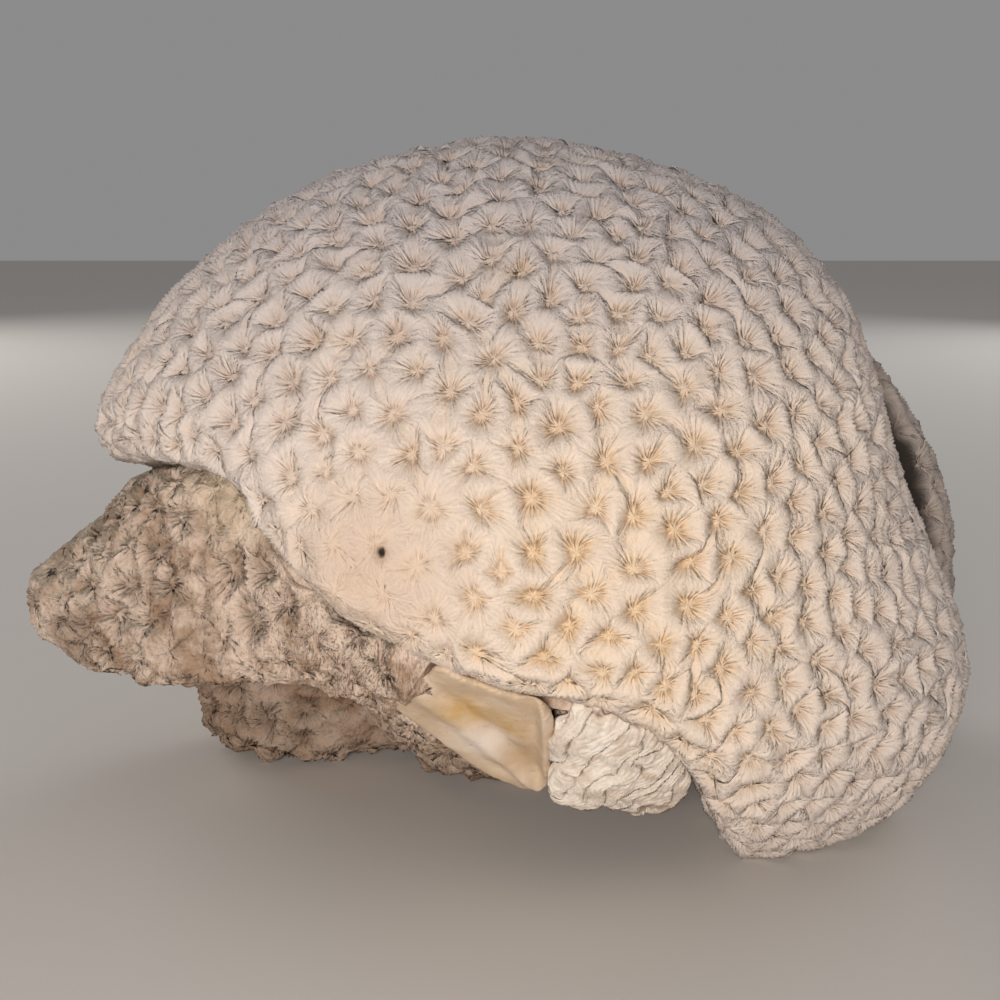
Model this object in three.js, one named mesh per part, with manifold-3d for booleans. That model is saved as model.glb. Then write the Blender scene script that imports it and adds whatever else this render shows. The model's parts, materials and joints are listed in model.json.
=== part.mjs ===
// A loose, dried head of brain coral, in millimetres, +Z up, resting on its cut underside.
// A pale colony has grown as a dome over an older, brown piece of reef. Its rim is raised on the
// left, where the old reef juts out as a prow, and comes down to the ground on the right. Half a
// bivalve shell and a frilled, flaky shell have grown on under the front of the rim.
import * as THREE from "three";
import { mergeVertices } from "three/addons/utils/BufferGeometryUtils.js";
import Module from "manifold-3d";

const wasm = await Module();
wasm.setup();

// Driving dimensions.
const FIT_GAP = 0.4; // left between two pieces that have grown together
const DOME_CENTRE = [1.6, 0, 42];
const DOME_LEFT = 95.5; // how far the dome reaches from its centre to the left,
const DOME_RIGHT = 102; // to the right,
const DOME_DEEP = 76; // to the front and the back,
const DOME_HIGH = 99; // and upwards
const UNDERCUT_FRONT = 47; // how far below its centre the dome would close, at the front,
const UNDERCUT_SIDE = 76; // and at the sides
const FLATTER = 17; // the most that the front of the dome is flattened, at its right edge,
const FLAT_AT = 0.4; // at this angle above level, in radians,
const FLAT_BELOW = 0.32; // fading out over these angles below it
const FLAT_ABOVE = 0.36; // and above it
const REAR_HEAD = [20, 30, 42]; // the second head of the dome, behind the first
const REAR_WIDE = 88;
const REAR_DEEP = 49;
const REAR_HIGH = 78;
const REAR_UNDERCUT = 62;
const CREASE = 2; // how softly the two heads meet
const CLEFT_DEEP = 7; // the cleft between them,
const CLEFT_WIDE = 3;
const CLEFT_FROM = 30; // which opens between these heights
const CLEFT_FULL = 50;
const RIM_ROUNDING = 12;
const RIM_FALL_BEHIND = 0.22;
const REEF_ROUNDING = 7;
const FOOT_MIDDLE = [-46, 24, 22];
const FOOT_REACH = [29, 20, 35];
const VALVE_THICK = 4;
const VALVE_HOLLOW = 3;
const FRILL_THICK = 6;

// How finely the skins are drawn.
const DOME_STEP = 6.5;
const REEF_STEP = 8.5;
const ROUND_PER_POINT = 2;
const ROWS = 6;
const SPACE = [
  [-120, -100, -48],
  [120, 100, 156],
];

// The height of the dome's rim along its front, as points of x and z. It falls towards the back.
const RIM = [
  [-62, 80],
  [-48, 79],
  [-42, 71],
  [-28, 59],
  [-12, 51],
  [4, 45],
  [18, 42],
  [31, 33],
  [41, 14],
  [48, -8],
  [56, -32],
];

// The two lumps of the old reef, under the dome and out to its left. Each flat face is the
// direction that it looks in and a point that it goes through.
const PROW = [
  { looks: [-0.72, -0.1, 0.69], through: [-101.5, -3, 46] },
  { looks: [-0.55, -0.82, 0.12], through: [-64, -36, 45] },
  { looks: [0.1, -0.15, -0.98], through: [-65, -30, 33.5] },
  { looks: [-0.8, -0.1, -0.57], through: [-103.5, -3, 42] },
  { looks: [-0.4, 0.9, 0.1], through: [-60, 36, 50] },
  { looks: [0.1, 0, 1], through: [-60, 0, 86] },
  { looks: [1, 0, 0], through: [-5, 0, 0] },
];
const BODY = [
  { looks: [-0.3, -0.95, 0], through: [-12, -62, 50] },
  { looks: [-0.1, -0.78, -0.6], through: [5, -55, 33] },
  { looks: [0, -0.5, -0.86], through: [0, 0, 0] },
  { looks: [-0.85, -0.2, -0.5], through: [-19, -5, 8] },
  { looks: [0.8, -0.55, -0.2], through: [36, -34, 20] },
  { looks: [0, 1, 0], through: [0, 56, 0] },
  { looks: [-0.55, 0.84, 0], through: [-20, 50, 0] },
  { looks: [-1, 0, 0], through: [-46, 0, 0] },
  { looks: [0.2, 0, 1], through: [0, 0, 76] },
  { looks: [1, 0.3, 0], through: [50, 0, 0] },
];

// Half a bivalve shell, its hollow side out, and the leaves of the frilled one, the oldest on
// top. An outline's points are millimetres across and up from the middle, anticlockwise.
const VALVE = {
  middle: [0, -56, 33],
  facing: [-0.22, -0.75, -0.62],
  outline: [
    [-20, 9],
    [-13, -2],
    [-7, -12],
    [0, -18],
    [6, -18],
    [9, -6],
    [12, 12],
    [4, 19],
    [-6, 24],
    [-12, 17],
  ],
};
const FRILL_FACING = [0.1, -0.8, -0.55];
const FRILL_OUTLINE = [
  [-9, 0],
  [-8, -6],
  [-4, -8],
  [0, -10],
  [6, -9],
  [10, -3],
  [9, 4],
  [5, 8],
  [-1, 10],
  [-6, 7],
];
const FRILLS = [
  { middle: [18.2, -60.5, 36.2], size: 1.05 },
  { middle: [22.2, -54.6, 29.8], size: 1.05 },
  { middle: [24.5, -49.2, 24.3], size: 1 },
  { middle: [27.8, -44.6, 19.8], size: 0.85 },
  { middle: [16.5, -54.5, 25.5], size: 0.85 },
];

const smoothMax = (a, b, k) => {
  const h = Math.max(k - Math.abs(a - b), 0) / k;
  return Math.max(a, b) + (h * h * k) / 4;
};
const smoothMin = (a, b, k) => -smoothMax(-a, -b, k);
const bump = (distance, width) => Math.exp(-((distance / width) ** 2));

// How far a point is outside an ellipsoid, seen from its centre. It is negative inside.
function ellipsoid(point, centre, reach) {
  const away = point.map((p, axis) => p - centre[axis]);
  const share = Math.hypot(...away.map((a, axis) => a / reach[axis]));
  return share ? Math.hypot(...away) * (1 - 1 / share) : -Math.min(...reach);
}

// The same for a lump with flat faces and rounded edges.
function lump(point, faces, rounding) {
  const place = new THREE.Vector3(...point);
  return faces
    .map(({ looks, through }) => {
      const normal = new THREE.Vector3(...looks).normalize();
      return normal.dot(place) - normal.dot(new THREE.Vector3(...through));
    })
    .reduce((all, one) => smoothMax(all, one, rounding));
}

// A height against x: a smooth curve through the points, level past its ends.
function heightCurve(points) {
  const curve = new THREE.SplineCurve(points.map(([x, z]) => new THREE.Vector2(x, z)));
  const samples = curve.getPoints(points.length * 12);
  return (x) => {
    if (x <= samples[0].x) return samples[0].y;
    const next = samples.findIndex((p) => p.x >= x);
    if (next < 0) return samples.at(-1).y;
    return THREE.MathUtils.mapLinear(
      x,
      samples[next - 1].x,
      samples[next].x,
      samples[next - 1].y,
      samples[next].y,
    );
  };
}

const rimHeight = heightCurve(RIM);

// How far a point is below the dome's hollow underside. It is negative above it.
function belowRim([x, y, z]) {
  return rimHeight(x) - RIM_FALL_BEHIND * Math.max(y + 30, 0) - z;
}

function dome(point) {
  const [x, y, z] = point;
  const low = z < DOME_CENTRE[2];
  const [dx, dy] = [x - DOME_CENTRE[0], y - DOME_CENTRE[1]];
  const sideways = (dx / (Math.hypot(dx, dy) || 1)) ** 4;
  const undercut = THREE.MathUtils.lerp(UNDERCUT_FRONT, UNDERCUT_SIDE, sideways);
  const front = ellipsoid(point, DOME_CENTRE, [
    dx < 0 ? DOME_LEFT : DOME_RIGHT,
    DOME_DEEP,
    low ? undercut : DOME_HIGH,
  ]);
  const [across, up] = [x - 9, z - 38];
  const turn = Math.atan2(up, across) - FLAT_AT;
  const outwards = Math.min(Math.hypot(across, up) / 90, 1) ** 3;
  const flatter = FLATTER * bump(turn, turn < 0 ? FLAT_BELOW : FLAT_ABOVE) * outwards;
  const rear = ellipsoid(point, REAR_HEAD, [REAR_WIDE, REAR_DEEP, low ? REAR_UNDERCUT : REAR_HIGH]);
  const open = THREE.MathUtils.smoothstep(z, CLEFT_FROM, CLEFT_FULL);
  const cleft = CLEFT_DEEP * open * bump(front + flatter - rear, CLEFT_WIDE);
  const heads = smoothMin(front + flatter, rear, CREASE) + cleft;
  return smoothMax(heads, belowRim(point), RIM_ROUNDING);
}

function oldReef(point) {
  const prow = lump(point, PROW, REEF_ROUNDING);
  const body = lump(point, BODY, REEF_ROUNDING);
  const foot = ellipsoid(point, FOOT_MIDDLE, FOOT_REACH);
  return smoothMin(smoothMin(prow, body, REEF_ROUNDING), foot, REEF_ROUNDING);
}

const CORNERS = [0, 1, 2, 3, 4, 5, 6, 7].map((i) => [i & 1, (i >> 1) & 1, i >> 2]);
const EDGES = CORNERS.flatMap((corner, i) =>
  [1, 2, 4].filter((bit) => !(i & bit)).map((bit) => [i, i | bit]),
);

// Moves a point onto the surface where a field is zero, and then out by a gap.
function drawOn(point, field, gap) {
  const here = field(point.toArray());
  const slope = new THREE.Vector3();
  for (const axis of [0, 1, 2]) {
    const beside = point.toArray();
    beside[axis] += 0.1;
    slope.setComponent(axis, (field(beside) - here) / 0.1);
  }
  point.addScaledVector(slope, -here / Math.max(slope.lengthSq(), 0.25));
  point.addScaledVector(slope.normalize(), gap);
}

// Skins the space where a field is negative: one vertex in each cell of a grid that the surface
// crosses, and two triangles for each edge of the grid that it crosses.
function skin(field, step, gap = 0) {
  const [low, high] = SPACE;
  const count = low.map((start, axis) => Math.ceil((high[axis] - start) / step) + 1);
  const stride = [1, count[0], count[0] * count[1]];
  const placeOf = (cell) => cell.map((n, axis) => low[axis] + n * step);
  const indexOf = (cell) => cell.reduce((sum, n, axis) => sum + n * stride[axis], 0);
  const cells = [];
  for (let k = 0; k < count[2]; k++)
    for (let j = 0; j < count[1]; j++)
      for (let i = 0; i < count[0]; i++) cells.push([i, j, k]);
  const values = cells.map((cell) => field(placeOf(cell)));

  const vertexOf = new Map();
  const vertices = [];
  const rings = [];
  for (const cell of cells) {
    if (cell.some((n, axis) => n === count[axis] - 1)) continue;
    const at = indexOf(cell);
    const corner = CORNERS.map((c) => values[at + indexOf(c)]);
    const crossings = EDGES.filter(([a, b]) => corner[a] < 0 !== corner[b] < 0);
    if (!crossings.length) continue;
    const middle = new THREE.Vector3();
    for (const [a, b] of crossings) {
      const start = new THREE.Vector3(...CORNERS[a]);
      const end = new THREE.Vector3(...CORNERS[b]);
      middle.add(start.lerp(end, corner[a] / (corner[a] - corner[b])));
    }
    middle.multiplyScalar(step / crossings.length).add(new THREE.Vector3(...placeOf(cell)));
    drawOn(middle, field, gap);
    vertexOf.set(at, vertices.length);
    vertices.push(middle);
    for (const axis of [0, 1, 2]) {
      const inside = corner[0] < 0;
      if (inside === corner[1 << axis] < 0) continue;
      const [b, c] = [stride[(axis + 1) % 3], stride[(axis + 2) % 3]];
      const ring = [at - b - c, at - c, at, at - b];
      rings.push(inside ? ring : ring.reverse());
    }
  }
  // each ring of four is split along its shorter diagonal
  const faces = rings.flatMap((ring) => {
    const [p, q, r, s] = ring.map((at) => vertexOf.get(at));
    const short = vertices[p].distanceTo(vertices[r]) < vertices[q].distanceTo(vertices[s]);
    return short ? [p, q, r, p, r, s] : [p, q, s, q, r, s];
  });
  return new THREE.BufferGeometry().setFromPoints(vertices).setIndex(faces);
}

function positionsOnly(geometry) {
  geometry.deleteAttribute("normal");
  geometry.deleteAttribute("uv");
  return geometry;
}

// A shell: a disc with rounded edges and any outline, hollow by some depth, facing outwards.
function shell({ middle, facing, outline }, thickness, hollow, gap = 0) {
  const loop = [...outline, outline[0]].map(([across, up]) => new THREE.Vector2(across, up));
  const edge = new THREE.SplineCurve(loop).getPoints(outline.length * ROUND_PER_POINT).slice(0, -1);
  const disc = positionsOnly(new THREE.SphereGeometry(1, edge.length, ROWS));
  const places = disc.attributes.position;
  for (let i = 0; i < places.count; i++) {
    const out = edge[(i % (edge.length + 1)) % edge.length];
    const share = Math.hypot(places.getX(i), places.getZ(i));
    const grow = share * (1 + gap / out.length());
    const lift = places.getY(i) * (thickness / 2 + gap) - hollow * (1 - share * share);
    places.setXYZ(i, out.x * grow, out.y * grow, lift);
  }
  const up = new THREE.Vector3(0, 0, 1);
  const turn = new THREE.Matrix4().lookAt(new THREE.Vector3(...facing), new THREE.Vector3(), up);
  return disc.applyMatrix4(turn).translate(...middle);
}

function solidOf(geometry) {
  const merged = mergeVertices(geometry);
  return new wasm.Manifold(
    new wasm.Mesh({
      numProp: 3,
      vertProperties: merged.attributes.position.array,
      triVerts: new Uint32Array(merged.index.array),
    }),
  );
}

function valveSolid(gap) {
  return solidOf(shell(VALVE, VALVE_THICK, VALVE_HOLLOW, gap));
}

function frillSolid(gap) {
  return FRILLS.map(({ middle, size }) => {
    const outline = FRILL_OUTLINE.map(([across, up]) => [across * size, up * size]);
    return solidOf(shell({ middle, facing: FRILL_FACING, outline }, FRILL_THICK, 0, gap));
  }).reduce((all, one) => all.add(one));
}

function pieceOf(name, solid, color, roughness) {
  const { vertProperties, triVerts } = solid.getMesh();
  const geometry = new THREE.BufferGeometry()
    .setAttribute("position", new THREE.BufferAttribute(vertProperties, 3))
    .setIndex(new THREE.BufferAttribute(triVerts, 1));
  const piece = new THREE.Mesh(geometry, new THREE.MeshStandardMaterial({ color, roughness, metalness: 0 }));
  piece.name = name;
  return piece;
}

const underTheCut = solidOf(positionsOnly(new THREE.BoxGeometry(600, 600, 200).translate(0, 0, -100)));
const domeRoom = solidOf(skin(dome, DOME_STEP, FIT_GAP));
const valveRoom = valveSolid(FIT_GAP);
const colony = solidOf(skin(dome, DOME_STEP)).subtract(underTheCut);
const valve = valveSolid(0).subtract(domeRoom);
const frills = frillSolid(0).subtract(domeRoom).subtract(valveRoom);
const base = solidOf(skin(oldReef, REEF_STEP))
  .subtract(underTheCut)
  .subtract(domeRoom)
  .subtract(valveRoom)
  .subtract(frillSolid(FIT_GAP));

const coral = new THREE.Group();
coral.add(
  pieceOf("coral_colony", colony, 0xe6d3c2, 0.95),
  pieceOf("old_reef_base", base, 0x9c8069, 0.95),
  pieceOf("oyster_valve", valve, 0xd0b290, 0.6),
  pieceOf("frilled_shell", frills, 0xe0ccb8, 0.7),
);

// The origin is under the middle of the whole object's box.
const box = new THREE.Box3().setFromObject(coral);
coral.position.set(-(box.min.x + box.max.x) / 2, -(box.min.y + box.max.y) / 2, 0);

export default coral;
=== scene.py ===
# A dried head of brain coral: a pale dome of star-shaped cups that grew over an older, brown piece
# of reef, with two shells grown on under its rim. Metres, +Z up, resting on its underside.
import json
import math

import bmesh
import bpy
import numpy as np
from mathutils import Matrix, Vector, kdtree, noise

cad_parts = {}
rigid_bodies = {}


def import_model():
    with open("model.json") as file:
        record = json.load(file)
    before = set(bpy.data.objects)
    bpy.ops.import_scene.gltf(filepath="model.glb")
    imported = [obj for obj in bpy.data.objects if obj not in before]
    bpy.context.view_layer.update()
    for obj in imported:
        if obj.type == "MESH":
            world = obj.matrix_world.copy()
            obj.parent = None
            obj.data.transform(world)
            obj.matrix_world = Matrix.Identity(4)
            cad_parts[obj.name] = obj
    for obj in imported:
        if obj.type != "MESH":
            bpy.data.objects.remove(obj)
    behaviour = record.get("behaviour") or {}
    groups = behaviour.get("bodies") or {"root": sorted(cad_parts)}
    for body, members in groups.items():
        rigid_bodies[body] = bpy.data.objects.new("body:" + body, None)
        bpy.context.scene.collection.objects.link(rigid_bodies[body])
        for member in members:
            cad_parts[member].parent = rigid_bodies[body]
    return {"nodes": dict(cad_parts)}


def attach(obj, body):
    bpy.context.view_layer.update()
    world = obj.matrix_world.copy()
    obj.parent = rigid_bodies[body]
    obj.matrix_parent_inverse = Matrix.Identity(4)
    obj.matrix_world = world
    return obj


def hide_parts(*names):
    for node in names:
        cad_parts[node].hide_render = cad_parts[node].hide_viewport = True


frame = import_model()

for spare in list(bpy.data.objects):
    if spare.name in ("Cube", "Light", "Camera"):
        bpy.data.objects.remove(spare)
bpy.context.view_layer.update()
MM = 0.001

# The table and the light. The coral lies on a plain, pale table top. A small, warm lamp stands in
# front of it, a little to the left, and two broad ones light it from behind.
CAMERA_AIM = Vector((-2.15, -1.95, 65.5)) * MM
CAMERA_AWAY = 300 * MM
CAMERA_RISE = math.radians(12)
LAMPS_AIM = Vector((0, 0, 60)) * MM
TABLE_REACH = 3

camera = bpy.data.objects.new("camera", bpy.data.cameras.new("camera"))
camera.data.lens = 50
camera.data.sensor_width = 36
camera.data.clip_start = 10 * MM
towards_camera = Vector((0, -math.cos(CAMERA_RISE), math.sin(CAMERA_RISE)))
camera.location = CAMERA_AIM + CAMERA_AWAY * towards_camera
camera.rotation_euler = towards_camera.to_track_quat("Z", "Y").to_euler()
bpy.context.collection.objects.link(camera)
bpy.context.scene.camera = camera


def lamp(name, place, size, watts, colour, spread=180):
    light = bpy.data.lights.new(name, "AREA")
    light.shape = "DISK"
    light.size = size
    light.energy = watts
    light.color = colour
    light.spread = math.radians(spread)
    stand = bpy.data.objects.new(name, light)
    stand.location = place
    stand.rotation_euler = (Vector(place) - LAMPS_AIM).to_track_quat("Z", "Y").to_euler()
    bpy.context.collection.objects.link(stand)


lamp("front_lamp", (-0.06, -0.52, 0.16), 0.16, 0.74, (1.0, 0.96, 0.92), 120)
lamp("right_back_lamp", (0.8, 0.9, 0.45), 0.8, 3.2, (0.95, 0.97, 1.0))
lamp("left_back_lamp", (-0.9, 0.85, 0.45), 0.8, 5.0, (1.0, 0.98, 0.95))

room = bpy.data.worlds.new("room")
room.use_nodes = True
room_light = room.node_tree.nodes["Background"].inputs
room_light["Color"].default_value = (0.80, 0.79, 0.80, 1)
room_light["Strength"].default_value = 0.33
bpy.context.scene.world = room
bpy.context.scene.view_settings.view_transform = "Standard"


def paint(red, green, blue):
    """A colour as light, from its red, green and blue on a paint chart of 0 to 255."""
    return (*(((c / 255 + 0.055) / 1.055) ** 2.4 for c in (red, green, blue)), 1)


ends = (-TABLE_REACH, TABLE_REACH)
table_mesh = bpy.data.meshes.new("table_top")
table_mesh.from_pydata([(x, y, 0) for y in ends for x in ends], [], [(0, 1, 3, 2)])
table_top = bpy.data.objects.new("table_top", table_mesh)
bpy.context.collection.objects.link(table_top)
table_paint = bpy.data.materials.new("table_paint")
table_paint.use_nodes = True
table_finish = table_paint.node_tree.nodes["Principled BSDF"].inputs
table_finish["Base Color"].default_value = paint(216, 211, 205)
table_finish["Roughness"].default_value = 0.9
table_finish["Specular IOR Level"].default_value = 0.05
table_mesh.materials.append(table_paint)

# The pale colony. It is a crust of bare, chalky skeleton: every polyp sat in a cup about 8 mm
# across, with a rounded wall and thin ribs that run in from the wall to a spongy middle. The
# cups share their walls, and the whole crust grew onto the old reef under it.
CUP_SPACING = 6.75 * MM  # about the least from one cup to the next; most are 8 mm apart
RIB_SPACING = 0.43 * MM  # from a rib to the gap beside it, along the wall
RINGS = (1, 0.79, 0.57, 0.35, 0.16)  # from the wall to the middle, as shares of the way
# How far below the wall's crest each kind of column lies at each ring, in millimetres.
CUP_COLUMNS = {
    "long_rib": (0.0, 0.3, 0.95, 1.9, 2.4),
    "short_rib": (0.08, 0.4, 1.15, 2.4, 2.6),
    "gap": (0.5, 0.82, 1.55, 2.9, 2.7),
}
CUP_MIDDLE = 2.1
GAP_BROWN = (0.1, 0.14, 0.45, 1.0)  # how brown a gap is at each ring: partly stain, partly painted shade deep in the gap
LOW_WALLS = 0.3  # the share of the walls that dip, so that two cups run into one
DIP = 1.3 * MM
DIP_SHARES = (1, 0.6, 0.25, 0.05)  # how much of a wall's dip each ring inside it shares
CUP_DEPTHS = (0.72, 1.04)  # the shallowest and the deepest cup, as shares of the columns
WORN_OUT = 0.97  # a cup this flat has no ribs left
WORN_PATCH = Vector((-25, -71, 68)) * MM
WORN_WIDE = 17 * MM
WORN_FLAT = 0.88
PIT = Vector((-22, -72.2, 72)) * MM
PIT_WIDE = 1.3 * MM
PIT_DEEP = 2.6 * MM
# The cleft between the colony's two heads lies near a plane, and runs down its right-hand side.
CLEFT_THROUGH = Vector((6.3, 61.2, 81)) * MM
CLEFT_FACING = Vector((-0.544, -0.838, 0.031))  # from the rear head to the front one
CLEFT_WIDE = 3.8 * MM
CLEFT_DEEP = 7 * MM
CLEFT_DARK = 6.5 * MM  # how far the cleft's painted shade reaches onto the rear head
WANDER = 1.1 * MM  # how far the walls stray along the surface,
WANDER_LUMP = 5 * MM  # in lumps of this size
UNEVEN = 0.2 * MM  # how much one point of a rib is higher or lower than the next


def fine_skin(node, voxel, smoothing=3):
    """A CAD node's skin, in small and even triangles: its points, normals and triangles."""
    mesh = frame["nodes"][node].data.copy()
    work = bmesh.new()
    work.from_mesh(mesh)
    bmesh.ops.remove_doubles(work, verts=work.verts, dist=0.01 * MM)
    work.to_mesh(mesh)
    work.free()
    draft = bpy.data.objects.new("draft", mesh)
    bpy.context.collection.objects.link(draft)
    draft.modifiers.new("rounding", "SUBSURF").levels = 1
    evener = draft.modifiers.new("evener", "REMESH")
    evener.mode = "VOXEL"
    evener.voxel_size = voxel
    draft.modifiers.new("smoother", "SMOOTH").iterations = smoothing
    even = bpy.data.meshes.new_from_object(draft.evaluated_get(bpy.context.evaluated_depsgraph_get()))
    bpy.data.objects.remove(draft)
    even.calc_loop_triangles()
    points, normals = (np.empty(len(even.vertices) * 3) for _ in range(2))
    triangles = np.empty(len(even.loop_triangles) * 3, dtype=np.int32)
    even.vertices.foreach_get("co", points)
    even.vertex_normals.foreach_get("vector", normals)
    even.loop_triangles.foreach_get("vertices", triangles)
    bpy.data.meshes.remove(even)
    return points.reshape(-1, 3), normals.reshape(-1, 3), triangles.reshape(-1, 3)


def unit(vectors):
    return vectors / np.maximum(np.linalg.norm(vectors, axis=-1, keepdims=True), 1e-12)


def tree_of(points):
    tree = kdtree.KDTree(len(points))
    for i, point in enumerate(points):
        tree.insert(point, i)
    tree.balance()
    return tree


def scatter(points, spacing, random):
    """Picks points about one spacing apart and evens them out a little. Returns their numbers,
    and for every point the pick that it belongs to."""
    everywhere = tree_of(points)
    taken = np.zeros(len(points), bool)
    picks = []
    for i in random.permutation(len(points)):
        if taken[i]:
            continue
        picks.append(i)
        reach = spacing * random.uniform(0.76, 0.98)
        taken[[near for _, near, _ in everywhere.find_range(points[i], reach)]] = True
    for _ in range(3):
        nearest = tree_of(points[picks])
        owner = np.array([nearest.find(point)[1] for point in points])
        count = np.maximum(np.bincount(owner, minlength=len(picks)), 1)
        middle = [np.bincount(owner, points[:, axis], len(picks)) / count for axis in range(3)]
        picks = [everywhere.find(place)[1] for place in np.array(middle).T]
    nearest = tree_of(points[picks])
    return np.array(picks), np.array([nearest.find(point)[1] for point in points])


def cup_outlines(skin, owner, cup_count):
    """Finds where three cups meet. Returns those corners, their normals, and each cup's corners
    in order, anticlockwise."""
    points, normals, triangles = skin
    met = owner[triangles]
    three = (met[:, 0] != met[:, 1]) & (met[:, 1] != met[:, 2]) & (met[:, 2] != met[:, 0])
    corner_of = {}
    for cups, triangle in zip(met[three], triangles[three]):
        cups = tuple(int(cup) for cup in np.roll(cups, -int(np.argmin(cups))))
        mirrored = (cups[0], cups[2], cups[1])
        if mirrored in corner_of:
            del corner_of[mirrored]
        else:
            corner_of[cups] = triangle
    at = np.array(list(corner_of.values()))
    after = {}
    for corner, (a, b, c) in enumerate(corner_of):
        after[a, b] = (corner, c)
        after[b, c] = (corner, a)
        after[c, a] = (corner, b)
    first_beside = {}
    for cup, beside in after:
        first_beside.setdefault(cup, beside)
    outlines = [None] * cup_count
    for cup, first in first_beside.items():
        outline, beside = [], first
        while (cup, beside) in after and len(outline) < 20:
            corner, beside = after[cup, beside]
            outline.append(corner)
            if beside == first:
                outlines[cup] = outline
                break
    return points[at].mean(axis=1), unit(normals[at].mean(axis=1)), outlines


def grow_cups(skin, spacing, rib_spacing, columns, middle, flatness, random):
    """Covers a skin with cups. flatness says, from a cup's place and normal, how much of its
    depth is gone. Returns places, normals, depths below the crests, brownness, triangles, the
    cup that each triangle is in, and the cups' middles."""
    picks, owner = scatter(skin[0], spacing, random)
    corners, corner_normals, outlines = cup_outlines(skin, owner, len(picks))
    places, normals = list(corners), list(corner_normals)
    depths, browns = [0.0] * len(corners), [0.0] * len(corners)
    wall_of, low_at = {}, {}

    def wall(start, end):
        if (end, start) in wall_of:
            return wall_of[end, start][::-1]
        if (start, end) not in wall_of:
            run = corners[end] - corners[start]
            turn = corner_normals[end] - corner_normals[start]
            length = np.linalg.norm(run)
            steps = 2 * max(1, round(length / (2 * rib_spacing)))
            # the walls that run level dip the most, which leaves long ridges up and down the head
            level = 1 - abs(run[2]) / length
            dips = random.random() < LOW_WALLS * (0.3 + 1.2 * level**2)
            low = DIP * (1 - flatness(corners[start], corner_normals[start])) * dips
            numbers = [start]
            for step in range(1, steps):
                share = step / steps
                number = len(places)
                numbers.append(number)
                places.append(corners[start] + share * run)
                normals.append(corner_normals[start] + share * turn)
                low_at[number] = low * math.sin(math.pi * share)
                kind = "gap" if step % 2 else "long_rib"
                depths.append(columns[kind][0] * MM + low_at[number])
                browns.append(GAP_BROWN[0] if kind == "gap" else 0)
            wall_of[start, end] = [*numbers, end]
        return wall_of[start, end]

    triangles, cup_of = [], []
    for cup, outline in enumerate(outlines):
        if outline is None:
            continue
        ring = []
        for start, end in zip(outline, outline[1:] + outline[:1]):
            ring.extend(wall(start, end)[:-1])
        count = len(ring)
        place, normal = skin[0][picks[cup]], skin[1][picks[cup]]
        flat = flatness(place, normal)
        if flat > WORN_OUT:
            triangles += [(ring[i - 1], ring[i], len(places)) for i in range(count)]
            cup_of += [cup] * count
            places.append(place)
            normals.append(normal)
            depths.append(columns["gap"][0] * MM)
            browns.append(0.3)
            continue
        around, around_normals = np.array([places[i] for i in ring]), np.array([normals[i] for i in ring])
        turn = int(random.integers(2)) * 2
        kinds = [("gap" if i % 2 else "short_rib" if (i + turn) % 4 else "long_rib") for i in range(count)]
        depth = random.uniform(*CUP_DEPTHS) * (1 - flat)
        cup_brown = random.uniform(0.4, 1)
        column_brown_varies = random.uniform(0.1, 1.1, count)
        lows = [low_at.get(i, 0) for i in ring]
        for level in (1, 2, 3):
            inner = range(len(places), len(places) + count)
            places.extend(place + RINGS[level] * (around - place))
            normals.extend(normal + RINGS[level] * (around_normals - normal))
            depths.extend(
                columns[kind][level] * MM * depth * random.uniform(0.88, 1.12) + DIP_SHARES[level] * low
                for kind, low in zip(kinds, lows)
            )
            brown = {"long_rib": 0, "short_rib": 0.3 * (level == 3), "gap": GAP_BROWN[level]}
            browns.extend(brown[kind] * cup_brown * share for kind, share in zip(kinds, column_brown_varies))
            for i in range(count):
                j = (i + 1) % count
                triangles += [(ring[i], ring[j], inner[j]), (ring[i], inner[j], inner[i])]
            ring = inner
        half = count // 2
        inner = range(len(places), len(places) + half)
        places.extend(place + RINGS[4] * (around[::2] - place))
        normals.extend(normal + RINGS[4] * (around_normals[::2] - normal))
        depths.extend(columns[kind][4] * MM * depth * random.uniform(0.85, 1.15) for kind in kinds[::2])
        browns.extend([0.12 * cup_brown] * half)
        tip = len(places)
        places.append(place)
        normals.append(normal)
        depths.append(middle * MM * depth)
        browns.append(0)
        for i in range(half):
            j = (i + 1) % half
            rib, gap, next_rib = ring[2 * i], ring[2 * i + 1], ring[(2 * i + 2) % count]
            triangles += [(rib, gap, inner[i]), (gap, next_rib, inner[j]), (gap, inner[j], inner[i])]
            triangles.append((inner[i], inner[j], tip))
        cup_of += [cup] * (len(triangles) - len(cup_of))
    found = np.array(places), unit(np.array(normals)), np.array(depths), np.array(browns)
    return *found, np.array(triangles), np.array(cup_of), skin[0][picks]


def soft_noise(places, size, seed=0):
    """Smooth noise, about -1 to 1, with lumps of one size."""
    shift = Vector((seed * 7.3, seed * 3.1, -seed * 5.7))
    return np.array([noise.noise(Vector(place) / size + shift) for place in places])


def stray(places, normals, size, far, seed=0):
    """A smooth wander of up to about far along the surface, in lumps of one size."""
    way = far * np.stack([soft_noise(places, size, seed + part) for part in (0.2, 0.5, 0.8)], axis=1)
    return way - normals * (way * normals).sum(axis=1, keepdims=True)


def bell(distance, width):
    """1 at no distance, and next to nothing two widths away."""
    return np.exp(-((distance / width) ** 2))


def ramp(values, start, end):
    """0 before the start, 1 past the end, and straight between them."""
    return np.clip((values - start) / (end - start), 0, 1)


def point_normals(places, triangles):
    a, b, c = (places[triangles[:, i]] for i in range(3))
    across = np.cross(b - a, c - a)
    total = np.zeros_like(places)
    for i in range(3):
        for axis in range(3):
            total[:, axis] += np.bincount(triangles[:, i], across[:, axis], len(places))
    return unit(total)


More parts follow.
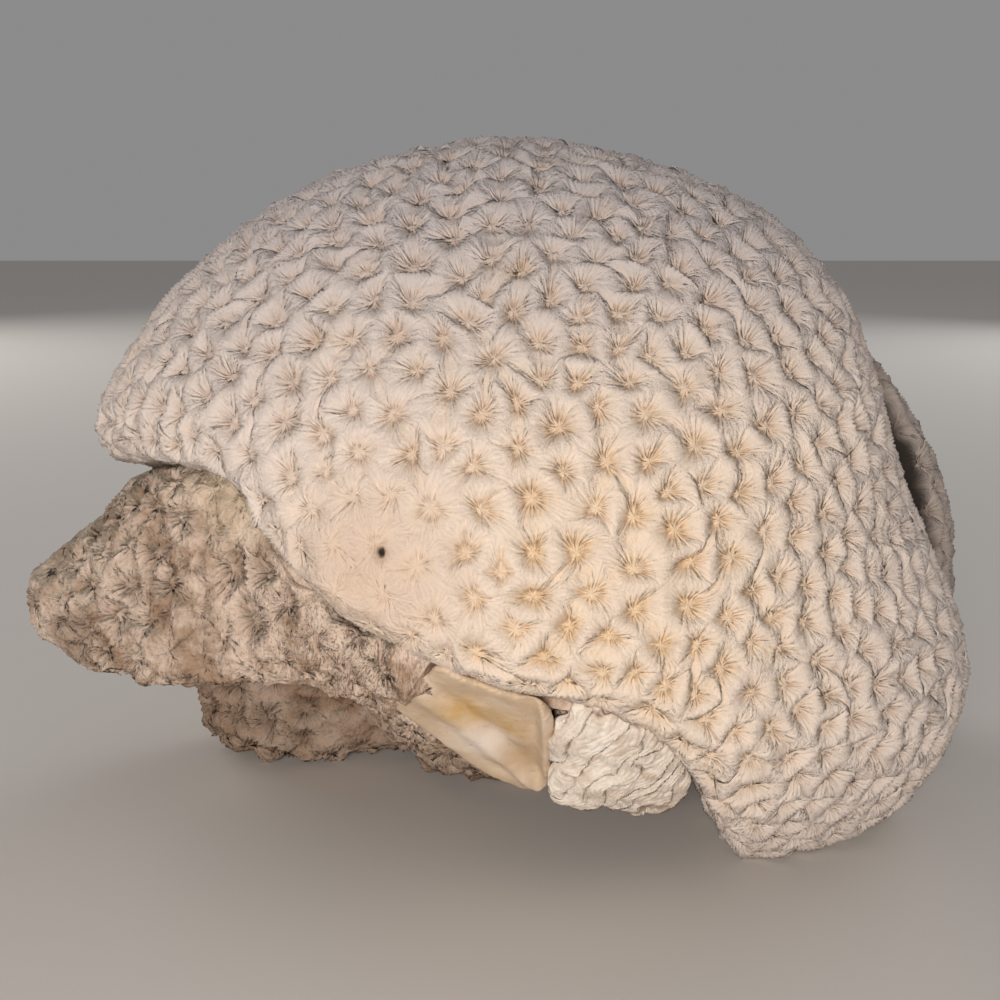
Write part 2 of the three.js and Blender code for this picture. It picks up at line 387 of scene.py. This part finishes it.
def piece_of(name, places, normals, triangles, details, material, node):
    """Makes a mesh piece of some triangles, with a detail value for each point."""
    used, renumbered = np.unique(triangles, return_inverse=True)
    mesh = bpy.data.meshes.new(name)
    mesh.from_pydata(places[used], [], renumbered.reshape(-1, 3))
    for detail, values in details.items():
        layer = mesh.attributes.new(detail, "FLOAT", "POINT")
        layer.data.foreach_set("value", values[used].astype(np.float32))
    mesh.polygons.foreach_set("use_smooth", [True] * len(mesh.polygons))
    mesh.normals_split_custom_set_from_vertices(normals[used])
    mesh.materials.append(material)
    piece = bpy.data.objects.new(name, mesh)
    bpy.context.collection.objects.link(piece)
    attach(piece, "root")
    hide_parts(node)


class Value:
    """One output in a finish. Arithmetic on it adds Math nodes."""

    def __init__(self, finish, socket):
        self.finish, self.socket = finish, socket

    def math(self, operation, *others):
        inputs = dict(enumerate(others))
        return self.finish.node("Math", {"operation": operation}, inputs)

    def __add__(self, other):
        return self.math("ADD", self, other)

    def __radd__(self, other):
        return self.math("ADD", other, self)

    def __sub__(self, other):
        return self.math("SUBTRACT", self, other)

    def __rsub__(self, other):
        return self.math("SUBTRACT", other, self)

    def __mul__(self, other):
        return self.math("MULTIPLY", self, other)

    def __rmul__(self, other):
        return self.math("MULTIPLY", other, self)

    def between(self, low, high):
        """0 below low, 1 above high, and smooth between them."""
        settings = {"interpolation_type": "SMOOTHSTEP"}
        return self.finish.node("MapRange", settings, {"Value": self, "From Min": low, "From Max": high})


class Finish:
    """A material, built up node by node."""

    def __init__(self, name):
        self.material = bpy.data.materials.new(name)
        self.material.use_nodes = True
        self.tree = self.material.node_tree
        self.shader = self.tree.nodes["Principled BSDF"]
        self.place = self.node("TexCoord", {}, {}, "Object")

    def put(self, socket, value):
        if isinstance(value, Value):
            self.tree.links.new(value.socket, socket)
        else:
            socket.default_value = value

    def node(self, kind, settings, inputs, output=0):
        made = self.tree.nodes.new("ShaderNode" + kind)
        for name, setting in settings.items():
            setattr(made, name, setting)
        for name, value in inputs.items():
            self.put(made.inputs[name], value)
        return Value(self, made.outputs[output])

    def detail(self, name):
        return self.node("Attribute", {"attribute_name": name}, {}, "Fac")

    def mottle(self, size, detail=2, roughness=0.5):
        """Noise with spots of one size, in metres."""
        inputs = {"Vector": self.place, "Scale": 1 / size, "Detail": detail, "Roughness": roughness}
        return self.node("TexNoise", {}, inputs, "Fac")

    def mix(self, share, first, second):
        return self.node("Mix", {"data_type": "RGBA"}, {"Factor": share, 6: first, 7: second}, 2)

    def near(self, place, reach):
        """1 at a place, fading to 0 a reach away."""
        away = self.node("VectorMath", {"operation": "DISTANCE"}, {0: self.place, 1: tuple(place)}, "Value")
        return 1 - away.between(0, reach)

    def height(self):
        return self.node("SeparateXYZ", {}, {"Vector": self.place}, "Z")

    def bump(self, height, distance, strength):
        return self.node("Bump", {}, {"Strength": strength, "Distance": distance, "Height": height})

    def set(self, **values):
        for name, value in values.items():
            self.put(self.shader.inputs[name.replace("_", " ")], value)


def flat_parts_of_dome(place, normal):
    worn = bell((Vector(place) - WORN_PATCH).length, WORN_WIDE)
    under = min(max((-normal[2] - 0.7) / 0.2, 0), 1)
    return 1 - (1 - WORN_FLAT * worn) * (1 - under)


chalk = Finish("chalk")
brown, hollow = chalk.detail("brown"), chalk.detail("hollow")
cleft, painted_rear_shade = chalk.detail("cleft"), chalk.detail("painted_rear_shade")
# Painted light: a warm, bright pool of light on the front of the dome, where the front lamp faces it.
painted_front_light = chalk.near(Vector((15, -72, 62)) * MM, 80 * MM)
# Painted shade: the crests grey and darken towards the top, where the light only grazes them.
painted_top_shade = chalk.height().between(80 * MM, 140 * MM)
crest = chalk.mix(chalk.mottle(4 * MM, 3), paint(224, 208, 196), paint(240, 225, 213))
crest = chalk.mix(painted_front_light * 0.5, crest, paint(248, 222, 190))
crest = chalk.mix(painted_top_shade * 0.8, crest, paint(190, 182, 182))
ridge = 1 - hollow.between(0.02, 0.14)
crest = chalk.mix(ridge * 0.4, crest, paint(214, 200, 196))
valley = chalk.mix(painted_front_light, paint(216, 194, 178), paint(240, 206, 162))
# The cups' hollows and gaps are painted darker and browner: partly stain, partly painted shade.
colour = chalk.mix(hollow.between(0.2, 0.85) * 0.7, crest, valley)
colour = chalk.mix(brown.between(0.15, 0.95) * 0.66, colour, paint(132, 94, 66))
yellow_stain = chalk.mottle(14 * MM, 4, 0.6).between(0.58, 0.75)
colour = chalk.mix(yellow_stain * 0.22, colour, paint(226, 190, 140))
colour = chalk.mix(chalk.near(WORN_PATCH, 26 * MM) * 0.55, colour, paint(214, 182, 152))
# Painted shade: the rear head, beyond the cleft, is painted darker.
colour = chalk.mix(painted_rear_shade * 0.5, colour, paint(140, 126, 116))
# Painted shade: the cleft and the pit are painted near black.
colour = chalk.mix(cleft.between(0.3, 0.75) * 0.96, colour, paint(44, 36, 30))
grain = chalk.mottle(0.45 * MM, 3, 0.65)
chalk.set(
    Base_Color=colour,
    Roughness=0.86 + 0.12 * grain,
    Specular_IOR_Level=0.25,
    Normal=chalk.bump(grain, 0.35 * MM, 0.8),
)

random = np.random.default_rng(7)
skin = fine_skin("coral_colony", 1.4 * MM)
places, normals, depths, browns, triangles, cup_of, middles = grow_cups(
    skin, CUP_SPACING, RIB_SPACING, CUP_COLUMNS, CUP_MIDDLE, flat_parts_of_dome, random
)
before_cleft = (places - np.array(CLEFT_THROUGH)) @ np.array(CLEFT_FACING.normalized())
height, on_right = places[:, 2], ramp(places[:, 0], 15 * MM, 40 * MM)
in_cleft = bell(before_cleft, CLEFT_WIDE) * on_right * ramp(height, 32 * MM, 50 * MM)
# The cleft's painted shade reaches further onto the rear head than the groove does.
dark_reach = np.where(before_cleft < 0, CLEFT_DARK, CLEFT_WIDE)
in_dark = bell(before_cleft, dark_reach) * on_right * ramp(height, 40 * MM, 52 * MM)
in_pit = bell(np.linalg.norm(places - np.array(PIT), axis=1), PIT_WIDE)
uneven = random.uniform(-UNEVEN, UNEVEN, len(places))
swell = (0.5 * (1 + soft_noise(places, 22 * MM, 9)) + 0.6 * soft_noise(places, 5 * MM, 10)) * MM
rise = swell - depths - uneven - CLEFT_DEEP * in_cleft - PIT_DEEP * in_pit
places = places + stray(places, normals, WANDER_LUMP, WANDER) + normals * rise[:, None]
places[:, 2] = np.maximum(places[:, 2], 0)
shading = point_normals(places, triangles)
details = {
    "brown": browns,
    "hollow": np.clip(depths / (3 * MM), 0, 1),
    # painted shade in the cleft and the pit
    "cleft": np.clip(in_dark + 0.95 * in_pit, 0, 1),
    # where the rear head gets its painted shade
    "painted_rear_shade": ramp(-before_cleft, 0, 4 * MM) * on_right,
}
# The crust is one net of cups. It is cut into quarters, which meet along the cups' walls.
bearing = np.arctan2(middles[:, 0], -middles[:, 1])
quarter_of = np.empty(len(middles), int)
quarter_of[np.argsort(bearing)] = np.arange(len(middles)) * 4 // len(middles)
for quarter, side in enumerate(("back_left", "front_left", "front_right", "back_right")):
    chosen = triangles[quarter_of[cup_of] == quarter]
    piece_of(f"cups_{side}", places, shading, chosen, details, chalk.material, "coral_colony")

# The old reef that the colony grew on. It is the skeleton of an earlier, coarser coral, dead for
# long: a ledge that juts out to the left and a foot that it stands on. Its cups are worn down, and
# what is left is stained brown, pitted and furred over.
OLD_CUP_SPACING = 8.4 * MM  # most of these are 10 mm apart
OLD_RIB_SPACING = 0.7 * MM
OLD_COLUMNS = {
    "long_rib": (0.0, 0.1, 0.6, 1.4, 1.9),
    "short_rib": (0.1, 0.3, 1.1, 2.5, 2.4),
    "gap": (0.5, 1.3, 2.5, 3.6, 2.6),
}
OLD_MIDDLE = 1.2
OLD_WEAR = 0.28  # how much of the depth of the cups is worn away, on average,
OLD_WEAR_VARIES = 0.9  # and how much that varies from place to place
HIDDEN = 1.7 * MM  # what is closer than this to the colony is grown over
ROUGHNESS = ((1.1, 7, 1), (0.75, 2.6, 2), (0.5, 1.2, 3))  # height and size in millimetres, and seed
CLUMPS = 1.3  # how much lumpier the foot is, in millimetres
FIBRES = (1800, 1800, 500)  # how many go to a metre, level and upright
# Where the stone swells out: the place, how far around it, and by how much, in millimetres. It has
# a blunt tip at the far left, and it has grown over the valve's corner and between the two shells.
SWELLINGS = (
    ((-103, -6, 47), 11, 4.0),
    ((-16, -67, 49), 8, 3.6),
    ((8, -63, 42), 6, 3.0),
    ((-70, -33, 38), 8, 1.6),
    ((-95, -19, 37), 9, -4.0),
)

colony_tree = tree_of(skin[0])


def flat_parts_of_reef(place, normal):
    if place[2] < 0.4 * MM or colony_tree.find(place)[2] < HIDDEN:
        return 1
    return min(max(OLD_WEAR + OLD_WEAR_VARIES * noise.noise(Vector(place) / (13 * MM)), 0), 0.92)


reef = Finish("old_reef_stone")
brown, hollow = reef.detail("brown"), reef.detail("hollow")
facing_up = reef.node("SeparateXYZ", {}, {"Vector": reef.node("NewGeometry", {}, {}, "Normal")}, "Z")
patches = reef.mottle(11 * MM, 4, 0.6).between(0.36, 0.6)
colour = reef.mix(patches, paint(176, 146, 122), paint(226, 202, 182))
pale_spots = reef.mottle(3 * MM, 3, 0.6).between(0.45, 0.7)
colour = reef.mix(pale_spots * 0.5, colour, paint(238, 218, 200))
# Painted shade: the foot, under the ledge, is painted darker and browner towards the bottom.
painted_foot_shade = 1 - reef.height().between(18 * MM, 38 * MM)
colour = reef.mix(painted_foot_shade * 0.55, colour, paint(136, 110, 90))
# Painted shade: faces that look up are painted darker and greyer, as the light only grazes them.
colour = reef.mix(facing_up.between(0.35, 0.8) * 0.55, colour, paint(150, 142, 126))
cream = reef.near(Vector((-50, -44, 80)) * MM, 22 * MM)
colour = reef.mix(cream * 0.6, colour, paint(232, 214, 184))
specks = reef.mottle(0.9 * MM, 3, 0.7)
colour = reef.mix(specks.between(0.52, 0.72) * 0.4, colour, paint(120, 94, 74))
# The hollows and the gaps of the old cups are painted darker and browner: partly stain, partly painted
# shade.
colour = reef.mix(hollow.between(0.3, 0.95) * 0.5, colour, paint(128, 98, 76))
colour = reef.mix(brown.between(0.15, 0.9) * 0.8, colour, paint(66, 48, 36))
squeezed = reef.node("VectorMath", {"operation": "MULTIPLY"}, {0: reef.place, 1: FIBRES})
fibres = reef.node("TexNoise", {}, {"Vector": squeezed, "Scale": 1, "Detail": 3, "Distortion": 1.2}, "Fac")
furred = reef.near(Vector((-28, -60, 50)) * MM, 36 * MM)
colour = reef.mix(furred * fibres.between(0.5, 0.62) * 0.7, colour, paint(112, 84, 62))
pits = reef.node("TexVoronoi", {}, {"Vector": reef.place, "Scale": 1 / (1.1 * MM)}, "Distance")
reef.set(
    Base_Color=colour,
    Roughness=0.84 + 0.14 * specks,
    Specular_IOR_Level=0.2,
    Normal=reef.bump(specks + 0.5 * pits + 0.8 * fibres * furred, 0.7 * MM, 0.8),
)

old_skin = fine_skin("old_reef_base", 1.3 * MM)
places, normals, depths, browns, triangles, cup_of, middles = grow_cups(
    old_skin, OLD_CUP_SPACING, OLD_RIB_SPACING, OLD_COLUMNS, OLD_MIDDLE, flat_parts_of_reef, random
)
rise = sum(high * soft_noise(places, size * MM, seed) for high, size, seed in ROUGHNESS) - 0.3
rise += CLUMPS * ramp(-places[:, 2], -32 * MM, -18 * MM) * soft_noise(places, 4 * MM, 7)
for place, reach, out in SWELLINGS:
    rise += out * bell(np.linalg.norm(places / MM - place, axis=1), reach)
rise = rise * MM - depths
places = places + stray(places, normals, 4 * MM, 1.1 * MM, 4) + normals * rise[:, None]
places[:, 2] = np.maximum(places[:, 2], 0)
shading = point_normals(places, triangles)
details = {"brown": browns, "hollow": np.clip(-rise / (3 * MM), 0, 1)}
halfway = np.median(middles[:, 0])
for side, chosen in (("left", middles[:, 0] < halfway), ("right", middles[:, 0] >= halfway)):
    half = triangles[chosen[cup_of]]
    piece_of(f"old_reef_{side}", places, shading, half, details, reef.material, "old_reef_base")

# Half a bivalve shell, grown on under the front of the rim with its hollow side out. It is
# smooth mother-of-pearl gone chalky, with a fold across it, a raised edge and yellow stains.
VALVE_FACING = unit(np.array([-0.22, -0.75, -0.62]))
VALVE_ACROSS = unit(np.cross([0, 0, 1], VALVE_FACING))
VALVE_UP = np.cross(VALVE_FACING, VALVE_ACROSS)
# The fold's two ends, then a stretch of the raised edge, on the shell's face.
FOLD = Vector((-7.6, -58, 34)) * MM, Vector((4.3, -50, 21)) * MM
EDGE = Vector((6.6, -62, 40)) * MM, Vector((6.6, -52, 21)) * MM
FOLD_HIGH = 1.1  # in millimetres, as are the next
FOLD_WIDE = 2.4
FOLD_NARROWS = 1.3  # how much narrower the fold is at its far end
EDGE_HIGH = 1.3
EDGE_WIDE = 0.9
YELLOW_STAINS = (((-8, -61, 40), 9), ((-1.3, -60, 36.6), 8))  # each a place and its reach

pearl = Finish("chalky_pearl")
cloud = pearl.mottle(9 * MM, 3, 0.55)
colour = pearl.mix(cloud.between(0.35, 0.65), paint(206, 180, 150), paint(226, 204, 180))
for place, reach in YELLOW_STAINS:
    spot = pearl.near(Vector(place) * MM, reach * MM)
    colour = pearl.mix(spot * pearl.mottle(3 * MM, 3) * 1.5, colour, paint(202, 158, 82))
shade = pearl.near(Vector((2.6, -54, 29)) * MM, 9 * MM)
colour = pearl.mix(shade * 0.7, colour, paint(186, 152, 110))
pale = pearl.near(Vector((-5, -56, 32)) * MM, 9 * MM)
colour = pearl.mix(pale * 0.6, colour, paint(234, 222, 212))
brown_spots = pearl.mottle(1.4 * MM, 3, 0.6).between(0.6, 0.7)
colour = pearl.mix(brown_spots * 0.35, colour, paint(170, 140, 110))
fine = pearl.mottle(0.6 * MM, 3, 0.6)
pearl.set(Base_Color=colour, Roughness=0.46 + 0.25 * cloud, Normal=pearl.bump(fine, 0.15 * MM, 0.5))


def beside(line, points):
    """How far each point is to the right of a line on the shell's face, in millimetres, and how
    far along it, as a share of its length."""
    start, end = (np.array([point @ VALVE_ACROSS, point @ VALVE_UP]) for point in map(np.array, line))
    length = np.linalg.norm(end - start)
    way = (end - start) / length
    flat = np.stack([points @ VALVE_ACROSS, points @ VALVE_UP], axis=1) - start
    return (flat[:, 1] * way[0] - flat[:, 0] * way[1]) / MM, flat @ way / length


places, normals, triangles = fine_skin("oyster_valve", 0.45 * MM)
off, along = beside(FOLD, places)
fold_wide = FOLD_WIDE - FOLD_NARROWS * np.clip(along, 0, 1)
rise = FOLD_HIGH * bell(off + 0.6, fold_wide) - 0.7 * bell(off - 3.4, 2.2)
off, _ = beside(EDGE, places)
rise += EDGE_HIGH * bell(off, EDGE_WIDE) - 0.8 * bell(off + 2.4, 1.3)
rise += 0.3 * soft_noise(places, 5 * MM, 5) + 0.08 * soft_noise(places, 1.5 * MM, 6)
facing = np.clip(normals @ VALVE_FACING, 0, 1)
places = places + normals * 0.35 * MM + VALVE_FACING * (facing * rise * MM)[:, None]
shading = point_normals(places, triangles)
piece_of("valve", places, shading, triangles, {}, pearl.material, "oyster_valve")

# The frilled shell beside it. It is a block of thin, chalky leaves of lime, each grown out a
# little less far than the one over it, so that their wavy edges show as steps, ruffled below.
LEAF_FACING = unit(np.array([0.1, -0.8, -0.55]))
LEAF_ACROSS = unit(np.cross([0, 0, 1], LEAF_FACING))
LEAF_UP = np.cross(LEAF_FACING, LEAF_ACROSS)
LEAF_LEAN = math.radians(60)  # from level to the way that the leaves' edges run
LEAF_WIDE = 4.7  # from one leaf's edge to the next, in millimetres, as are the next
LEAF_STEP = 1.1
LEAF_WAVE = 4.2
SEAM_DEEP = 0.7
LINE_DEEP = 0.12
LINES_PER_LEAF = 5
RUFFLE = 1.8

flake = Finish("flaky_shell")
cloud = flake.mottle(4 * MM, 4, 0.6)
colour = flake.mix(cloud.between(0.35, 0.6), paint(218, 200, 182), paint(240, 228, 214))
low = 1 - flake.height().between(12 * MM, 21 * MM)
beside_valve = flake.near(Vector((8, -60, 35)) * MM, 8 * MM)
stain = flake.mottle(2.6 * MM, 4, 0.65).between(0.44, 0.6)
colour = flake.mix(stain * (low + beside_valve).between(0, 1) * 0.8, colour, paint(146, 116, 92))
colour = flake.mix(flake.detail("line").between(0.3, 1) * 0.3, colour, paint(176, 156, 138))
# Painted shadow: a dark line along each seam, under the edge of the leaf above it.
colour = flake.mix(flake.detail("seam").between(0.1, 0.9) * 0.75, colour, paint(122, 100, 86))
fine = flake.mottle(0.5 * MM, 3, 0.6)
flake.set(Base_Color=colour, Roughness=0.74 + 0.22 * fine, Normal=flake.bump(fine + cloud, 0.25 * MM, 0.6))

places, normals, triangles = fine_skin("frilled_shell", 0.32 * MM, 14)
across, up = places @ LEAF_ACROSS / MM, places @ LEAF_UP / MM
wave = LEAF_WAVE * soft_noise(places, 6 * MM, 11) + 1.2 * soft_noise(places, 2 * MM, 12)
leaves = (across * math.sin(LEAF_LEAN) - up * math.cos(LEAF_LEAN) + wave) / LEAF_WIDE
share = leaves % 1  # 0.54 of the way along each leaf, a seam parts it from the next one
seam = bell(share - 0.54, 0.05)
terrace = LEAF_STEP * np.interp(share, [0, 0.46, 0.54, 1], [0.5, 1, 0, 0.5])
growth = np.sin(math.tau * LINES_PER_LEAF * leaves)
facing = np.clip(normals @ LEAF_FACING * 1.6, 0, 1)
rise = terrace + LINE_DEEP * growth - SEAM_DEEP * seam + 0.15 * soft_noise(places, 1.6 * MM, 14)
ruffle = RUFFLE * soft_noise(places * np.array([1, 1, 0.25]), 1.7 * MM, 13) * (1 - facing)
places = places + normals * ((facing * rise + ruffle + 0.5) * MM)[:, None]
places[:, 2] = np.maximum(places[:, 2], 0)
shading = point_normals(places, triangles)
details = {"seam": seam * facing, "line": np.clip(-growth, 0, 1) * facing}
piece_of("shell_leaves", places, shading, triangles, details, flake.material, "frilled_shell")
